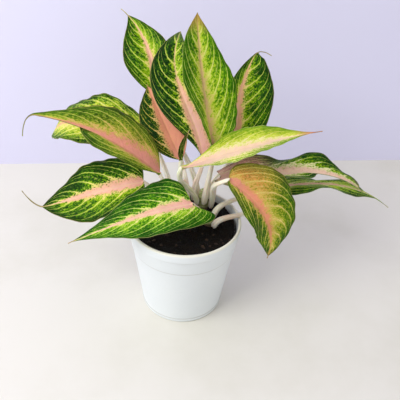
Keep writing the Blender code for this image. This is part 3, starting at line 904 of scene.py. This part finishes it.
# The shapes, the same as the solids': where the stalk leaves the cane, neck and tip of the blade in
# mm, the way it faces, its midrib, widths, fold and ripple. A pair is for the left and right flank.
LEAVES = [
    dict(name="leaf_centre", cane="cane_back", foot=(276, 12), neck=(27, 27, 188), tip=(5, 84, 312),
         face=(4, -6, 5), bend=((2, -3), (2, -6)), halves=(31, 37), bases=(1.1, 0.6), tapers=1.15,
         drips=0.0, fold=(42, 20), twist=-30),
    dict(name="leaf_centre_left", cane="cane_back", foot=(174, 9), neck=(17, 30, 175),
         tip=(-12, 112, 284), face=(-1, -7, 7), bend=((6, 4), (6, -30)), halves=30, bases=(1.35, 0.8),
         tapers=(1.0, 0.9), drips=0.0, fold=15, ears=(0.0, 0.08)),
    dict(name="leaf_left_inner", cane="cane_left", foot=(50, 8), neck=(-6, 36, 168), tip=(-48, 97, 228),
         face=(-2, -6, 8), bend=((6, 0), (6, 0)), halves=(27, 22), bases=0.8, tapers=0.95, fold=20),
    dict(name="leaf_back_left", cane="cane_back", foot=(121, 6), neck=(-35, 95, 217),
         tip=(-82, 160, 292), face=(-1, -6, 7), bend=((6, 10), (6, 16)), halves=(31, 26),
         bases=(1.0, 0.6), tapers=1.2, drips=0.1, fold=18, ears=0.03, ripple=(3, 0)),
    dict(name="leaf_back_right", cane="cane_back", foot=(66, 5), neck=(55, 60, 172), tip=(87, 145, 267),
         face=(0, -6, 8), bend=((8, -9), (8, -22)), halves=(20, 38), bases=0.6, tapers=(1.3, 0.65),
         drips=0.12, fold=18, ears=0.08, wisp=(7, -10, -13)),
    dict(name="leaf_right_level", cane="cane_back", foot=(226, 10), neck=(-5, 1, 179),
         tip=(143, 40, 208), face=(0, -1, 9), bend=((5, 0), (7, 0)), halves=(26, 32), bases=(2.2, 1.1),
         tapers=(2.3, 2.0), drips=0.02, fold=(33, 28), ripple=(1, 0)),
    dict(name="leaf_front_right", cane="cane_back", foot=(326, 4), neck=(42, -22, 182),
         tip=(92, -26, 84), face=(3, -6, 6), bend=((16, -14), (18, -18)), halves=(44, 21), bases=0.8,
         tapers=(1.0, 0.9), fold=(20, 10), ears=(0.08, 0.04)),
    dict(name="leaf_right_long", cane="cane_back", foot=(15, 3), neck=(38, 30, 151), tip=(199, 29, 140),
         face=(1, -1, 9), bend=((8, 0), (39, 0)), halves=(26, 27), bases=(0.35, 0.6), tapers=(0.5, 0.6),
         drips=(0.03, 0.36), fold=(15, 35), ears=(0.08, 0.1), ripple=(7, 45)),
    dict(name="leaf_right_low", cane="cane_front", foot=(60, 3), neck=(79, 36, 131), tip=(233, 27, 121),
         face=(0, 2, 9), bend=((18, 0), (32, 0)), halves=(22, 20), bases=0.6, tapers=0.8, fold=8,
         ears=0.1, ripple=(4, 0)),
    dict(name="leaf_left_arching", cane="cane_left", foot=(240, 5), neck=(-28, 6, 168),
         tip=(-173, 6, 232), face=(-1, -2, 9), bend=((24, 0), (26, 0)), halves=(24, 44),
         bases=(1.1, 0.8), tapers=(0.6, 1.7), drips=(0.42, 0.1), fold=(10, 35), ears=(0.0, 0.02),
         wisp=(9, 0, -26)),
    dict(name="leaf_left_back", cane="cane_left", foot=(140, 3), neck=(-42, 65, 175),
         tip=(-169, 118, 143), face=(-1, -4, 8), bend=((40, 0), (56, 0)), halves=(30, 38),
         bases=(0.9, 0.6), tapers=0.9, drips=0.04, fold=10, ripple=(3, 90)),
    dict(name="leaf_left_low", cane="cane_left", foot=(190, 2), neck=(-46, 18, 149),
         tip=(-176, 14, 108), face=(-1, -4, 8), bend=((8, 0), (2, -4)), halves=(33, 42),
         bases=(0.8, 0.6), tapers=1.0, drips=0.14, fold=8, ears=0.05, ripple=(3, 0), wisp=(-2, 0, 26)),
    dict(name="leaf_front_left", cane="cane_front", foot=(215, 6), neck=(7, -24, 152),
         tip=(-113, -62, 127), face=(0, -3, 9), bend=((14, 0), (6, 0)), halves=(28, 38),
         bases=(0.6, 0.42), tapers=(1.6, 1.7), drips=0.02, fold=8, ears=(0.22, 0.03)),
    dict(name="leaf_right_small", cane="cane_front", foot=(300, 2), neck=(75, 14, 122),
         tip=(115, 36, 122), face=(1, -2, 9), bend=((6, 0), (8, 0)), halves=14, bases=0.6, tapers=0.9,
         fold=12, ears=0.1, ripple=(1, 0)),
    dict(name="leaf_left_young", cane="cane_left", foot=(95, 7), neck=(-6, 14, 181), tip=(1, 14, 216),
         face=(-6, -4, 0), bend=((1, 0), (1, 0)), halves=6, bases=0.6, tapers=0.9, drips=0.05, fold=72,
         ripple=(0, 0)),
]

# The looks, where they differ from a plain leaf's. Pairs are for the left and the right flank, and
# shades change single colours of the kind.
PLAIN_LOOK = dict(vein_width=0.12, pink_reach=0.95, softness=0.06, blush=(0.0, 0.0), blush_reach=0.9,
                  tip_length=0.03, pale_back=0.45, stalk="pale", shades={})
LOOKS = {
    "leaf_centre": dict(
        veins=6.0, vein_width=0.18, pink=(0.13, 0.10), pink_reach=1.9, softness=0.14,
        freckles=(0.7, 1.1), tip_length=0.10,
        shades=dict(deep_green="#2b6200", green="#5f940c", vein="#dce07a", fringe="#d0c862",
                    pink="#dcb492", blush="#cdb468", tip_colour="#b08a48")),
    "leaf_centre_left": dict(
        veins=6.0, pink=(0.26, 0.44), pink_reach=0.66, freckles=(0.3, 1.0), stalk="pink",
        shades=dict(deep_green="#0e2c08", green="#2a5c0c", pink="#e9b3a8", tip_colour="#6f7f4c")),
    "leaf_left_inner": dict(
        veins=5.5, pink=(0.3, 0.95), pink_reach=2.6, freckles=(0.35, 0.6), blush=(0.0, 0.9),
        stalk="pink",
        shades=dict(deep_green="#0e2a08", green="#2a5c0c", fringe="#dcb474", pink="#da9076",
                    blush="#cc8850")),
    "leaf_back_left": dict(
        veins=5.5, vein_width=0.14, pink=(0.14, 0.22), pink_reach=1.1, freckles=(0.9, 1.3),
        shades=dict(green="#427a0e", tip_colour="#e0d49a")),
    "leaf_back_right": dict(
        veins=6.0, pink=(0.36, 0.13), pink_reach=1.1, freckles=(1.2, 0.8),
        shades=dict(deep_green="#123408", pink="#e8ae98", tip_colour="#b8a88a")),
    "leaf_right_level": dict(
        veins=7.0, pink=(0.24, 0.74), pink_reach=1.6, softness=0.16, freckles=(1.9, 1.7),
        tip_length=0.14, stalk="green",
        shades=dict(deep_green="#6a9614", green="#98b424", freckle="#c6d044", fringe="#efe6a2",
                    pink="#f2cdb8", blush="#efd9a4", tip_colour="#d67c68")),
    "leaf_front_right": dict(
        veins=6.5, vein_width=0.17, pink=(0.2, 0.21), pink_reach=1.05, softness=0.11,
        freckles=(1.3, 0.35), blush=(0.8, 0.1), blush_reach=0.52,
        shades=dict(deep_green="#2b5a10", green="#6f9412", freckle="#b6b43a", vein="#f0da84",
                    fringe="#dcbc5e", pink="#f09c84", blush="#e68a56")),
    "leaf_right_long": dict(
        veins=7.0, pink=(0.34, 0.5), pink_reach=2.2, softness=0.16, freckles=(1.4, 2.0),
        blush=(2.5, 1.5), blush_reach=0.42, stalk="pink",
        shades=dict(deep_green="#1a3c14", fringe="#ece4b4", pink="#e8c2ac", blush="#cf958a")),
    "leaf_right_low": dict(
        veins=7.0, vein_width=0.19, pink=(0.12, 0.20), pink_reach=1.8, freckles=(1.2, 1.4),
        shades=dict(deep_green="#1a3c1a", fringe="#e2d8a0", tip_colour="#a97c50")),
    "leaf_left_arching": dict(
        veins=7.0, vein_width=0.14, pink=(0.22, 0.34), softness=0.15, freckles=(1.5, 1.5),
        blush=(0.1, 0.22),
        shades=dict(deep_green="#234a08", green="#5a8c14", freckle="#a2b032", vein="#e4d874",
                    fringe="#dcb666", pink="#e8998a", blush="#cb8648", tip_colour="#8e9a40")),
    "leaf_left_back": dict(
        veins=6.0, vein_width=0.16, pink=(0.24, 0.16), pink_reach=2.4, softness=0.14,
        freckles=(1.9, 1.6),
        shades=dict(green="#6a9a16", freckle="#c2c83e", vein="#e0dc88", pink="#e8ad92")),
    "leaf_left_low": dict(
        veins=6.0, vein_width=0.13, pink=(0.20, 0.20), pink_reach=1.25, freckles=(0.75, 0.3),
        tip_length=0.0, stalk="pink"),
    "leaf_front_left": dict(
        veins=6.5, pink=(0.19, 0.18), pink_reach=1.3, freckles=(1.0, 0.5), tip_length=0.0, stalk="pink",
        shades=dict(deep_green="#1a4a06", green="#3f8210", freckle="#98c024", pink="#efb9b0",
                    blush="#e8b074")),
    "leaf_right_small": dict(
        veins=4.5, pink=(0.20, 0.20), pink_reach=1.0, freckles=(0.8, 0.8), stalk="pink"),
    "leaf_left_young": dict(
        veins=3.0, pink=(-0.3, -0.3), pink_reach=1.0, freckles=(0.3, 0.3), pale_back=0.0,
        stalk="green"),
}
slot_of = {part["node"]: part["material_slot"] for part in frame["record"]["subparts"]}
for number, leaf in enumerate(LEAVES):
    slot = slot_of[leaf["name"]]
    look = {**PLAIN_LOOK, **LOOKS[leaf["name"]]}
    skins = [blade_skin(leaf["name"], slot, look, False), blade_skin(leaf["name"], slot, look, True),
             STALK_SKINS[look["stalk"]]]
    grown = grow_leaf(**leaf, veins=look["veins"], number=number, materials=skins)

# ----------------------------------------
# Stage. A pale floor that meets a plain lavender wall behind the plant. The wall is seen only from
# its front, so it doesn't hide the plant from behind.
# ----------------------------------------
FLOOR_PALE = "#e4e1d8"
FLOOR_GREY = "#dddacf"
WALL_LAVENDER = "#e6e5fd"
WALL_LILAC = "#dfddf8"
WALL_HEIGHT = 2500.0
WALL_ENDS = 3.0
FLOOR_REACH = 3000.0
WALL_FOOT = ((-311.0, 280.0), (385.0, 347.0))

stone, tree, shader, place = new_material("floor_stone")
veining = cloud(place, 5.0, 6.0, 0.6)
pale = tint(soft_step(veining, 0.45, 0.7), shade(FLOOR_PALE), shade(FLOOR_GREY))
finish_surface(shader, pale, soft_step(veining, 0.3, 0.7, 0.45, 0.6),
               bump(veining, 0.0005, 0.1))
floor_mesh = bmesh.new()
corners = [(-1, -1), (1, -1), (1, 1), (-1, 1)]
floor_mesh.faces.new([floor_mesh.verts.new((x * FLOOR_REACH * MM, y * FLOOR_REACH * MM, 0.0))
                      for x, y in corners])
add_piece("floor", floor_mesh, [stone])

paint, tree, shader, place = new_material("wall_paint")
mottle = cloud(place, 3.0, 3.0)
tone = tint(mottle, shade(WALL_LAVENDER), shade(WALL_LILAC))
tree.links.new(tone.socket, shader.inputs["Base Color"])
shader.inputs["Roughness"].default_value = 0.8
clear = add_node(tree, "ShaderNodeBsdfTransparent", {})
backface = add_node(tree, "ShaderNodeNewGeometry", {}, "Backfacing")
one_sided = add_node(tree, "ShaderNodeMixShader", {0: backface, 1: Wire(shader.outputs[0]), 2: clear})
tree.links.new(one_sided.socket, tree.nodes["Material Output"].inputs["Surface"])
wall_mesh = bmesh.new()
run = Vector(WALL_FOOT[1]) - Vector(WALL_FOOT[0])
ends = [Vector(WALL_FOOT[0]) - run * WALL_ENDS, Vector(WALL_FOOT[1]) + run * WALL_ENDS]
points = [(*ends[0], 0.0), (*ends[1], 0.0), (*ends[1], WALL_HEIGHT), (*ends[0], WALL_HEIGHT)]
wall_mesh.faces.new([wall_mesh.verts.new((x * MM, y * MM, z * MM)) for x, y, z in points])
add_piece("wall", wall_mesh, [paint])

# ----------------------------------------
# Studio light. A big soft key lamp at the upper left, a weak fill lamp at the right, and a pale
# sky that lights the shaded side of the leaves.
# ----------------------------------------
SKY_TINT = (1.0, 0.99, 0.99, 1.0)
SKY_STRENGTH = 0.62
AIM = Vector((0.0, 0.0, 0.15))
LIGHTS = (("key", (-1.1, -0.7, 1.3), 1.1, 23.0), ("fill", (1.2, -0.9, 1.0), 1.0, 1.0))

world = bpy.data.worlds.new("studio")
bpy.context.scene.world = world
world.use_nodes = True
sky = world.node_tree.nodes["Background"]
sky.inputs["Color"].default_value = SKY_TINT
sky.inputs["Strength"].default_value = SKY_STRENGTH
for name, spot, size, power in LIGHTS:
    lamp = bpy.data.lights.new(name, "AREA")
    lamp.size = size
    lamp.energy = power
    lamp_object = put(name, lamp)
    lamp_object.location = spot
    lamp_object.rotation_euler = (AIM - Vector(spot)).to_track_quat("-Z", "Y").to_euler()

# ----------------------------------------
# Camera. It stands half a metre from the plant and looks down at it from the front, through a
# normal lens and with a slight tilt to one side.
# ----------------------------------------
VIEW_FROM = Vector((0.0, -0.4351, 0.4498))
VIEW_ALONG = Vector((0.02926, 0.81480, -0.57900))
VIEW_UP = Vector((-0.03732, 0.57974, 0.81395))

camera = bpy.data.cameras.new("camera")
camera.lens = 45.0
camera.sensor_width = 36.0
camera.clip_start = 0.01
stand = put("camera", camera)
axes = Matrix((VIEW_ALONG.cross(VIEW_UP), VIEW_UP, -VIEW_ALONG)).transposed()
stand.matrix_world = Matrix.Translation(VIEW_FROM) @ axes.to_4x4()
bpy.context.scene.camera = stand
bpy.context.scene.view_settings.view_transform = "Standard"
